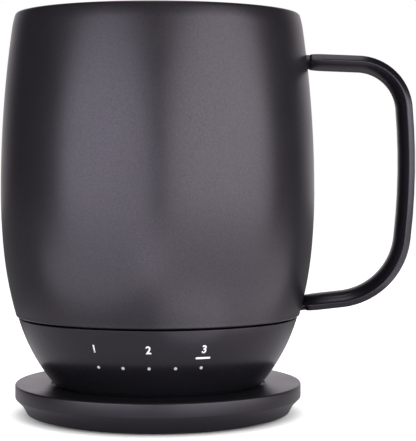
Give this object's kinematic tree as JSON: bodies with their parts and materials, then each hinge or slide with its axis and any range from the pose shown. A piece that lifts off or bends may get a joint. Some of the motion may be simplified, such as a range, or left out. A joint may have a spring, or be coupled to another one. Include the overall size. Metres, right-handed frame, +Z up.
{
  "type": "self heating mug",
  "caption": "Double-walled steel mug with a bevelled strap handle and a heated base, standing on a round charging dock.",
  "frame": {"origin": "on the mug's axis, in the plane of the floor that the dock's pad rests on", "axes": "+Z up along the mug's axis, +X towards the handle, the lit marks on the -Y side and the power inlet on the +Y side"},
  "size_m": [0.1249, 0.095, 0.1212],
  "materials": {
    "black_powder_coat": "satin",
    "black_liner_coat": "satin",
    "black_abs": "satin",
    "satin_dock_plastic": "satin",
    "black_silicone": "matte",
    "white_lens": "gloss",
    "green_board": "satin",
    "black_epoxy": "matte",
    "ferrite": "matte",
    "polyimide_film": "satin",
    "aluminium": "satin",
    "ceramic_felt": "matte",
    "cell_wrap": "satin",
    "cradle_plastic": "matte",
    "nickel": "satin",
    "gold_plate": "satin",
    "screw_steel": "satin",
    "ballast_steel": "matte",
    "red_wire": "satin"
  },
  "bodies": {
    "dock": {"dock_shell": "satin_dock_plastic", "dock_floor": "black_abs", "dock_pad": "black_silicone", "dock_board": "green_board", "power_jack": "black_epoxy", "power_jack_pin": "nickel", "contact_carrier": "cradle_plastic", "contact_barrel_1": "gold_plate", "contact_barrel_2": "gold_plate", "contact_spring_1": "screw_steel", "contact_spring_2": "screw_steel", "ballast_ring": "ballast_steel", "dock_screw_1": "screw_steel", "dock_screw_2": "screw_steel", "dock_screw_3": "screw_steel"},
    "mug": {"outer_shell": "black_powder_coat", "inner_liner": "black_liner_coat", "handle": "black_powder_coat", "base_housing": "black_abs", "seam_gasket": "black_silicone", "heater_film": "polyimide_film", "heat_spreader": "aluminium", "temperature_sensor": "black_epoxy", "insulation_pad": "ceramic_felt", "main_board": "green_board", "controller_chip": "black_epoxy", "power_inductor": "ferrite", "battery_cradle": "cradle_plastic", "battery_cell_1": "cell_wrap", "battery_cell_2": "cell_wrap", "battery_cell_3": "cell_wrap", "cell_strip_left": "nickel", "cell_strip_right": "nickel", "ribbon_cable": "polyimide_film", "heater_lead_1": "red_wire", "heater_lead_2": "red_wire", "led_board": "green_board", "light_pipe_1": "white_lens", "light_pipe_2": "white_lens", "light_pipe_3": "white_lens", "light_pipe_4": "white_lens", "light_pipe_5": "white_lens", "level_bar_lens": "white_lens", "contact_board": "green_board", "tact_switch": "black_epoxy", "bottom_cover": "black_abs", "cover_gasket": "black_silicone", "charge_ring_inner": "gold_plate", "charge_ring_outer": "gold_plate", "foot_ring": "black_silicone", "cover_screw_1": "screw_steel", "cover_screw_2": "screw_steel", "cover_screw_3": "screw_steel"},
    "button": {"power_button": "black_silicone", "switch_stem": "black_epoxy"},
    "contact_pin_1": {"contact_pin_1": "gold_plate"},
    "contact_pin_2": {"contact_pin_2": "gold_plate"}
  },
  "joints": [
    {"name": "mug_lift", "type": "slide", "parent": "dock", "child": "mug", "axis": [0, 0, 1], "range_m": [0, 0.1]},
    {"name": "button_press", "type": "slide", "parent": "mug", "child": "button", "axis": [0, 0, 1], "range_m": [0, 0.0005], "stiffness_N_per_m": 400, "springref_m": -0.001},
    {"name": "contact_press_1", "type": "slide", "parent": "dock", "child": "contact_pin_1", "axis": [0, 0, 1], "range_m": [-0.0008, 0], "stiffness_N_per_m": 500, "springref_m": 0.001, "deforming": ["contact_spring_1"]},
    {"name": "contact_press_2", "type": "slide", "parent": "dock", "child": "contact_pin_2", "axis": [0, 0, 1], "range_m": [-0.0008, 0], "stiffness_N_per_m": 500, "springref_m": 0.001, "deforming": ["contact_spring_2"]}
  ]
}
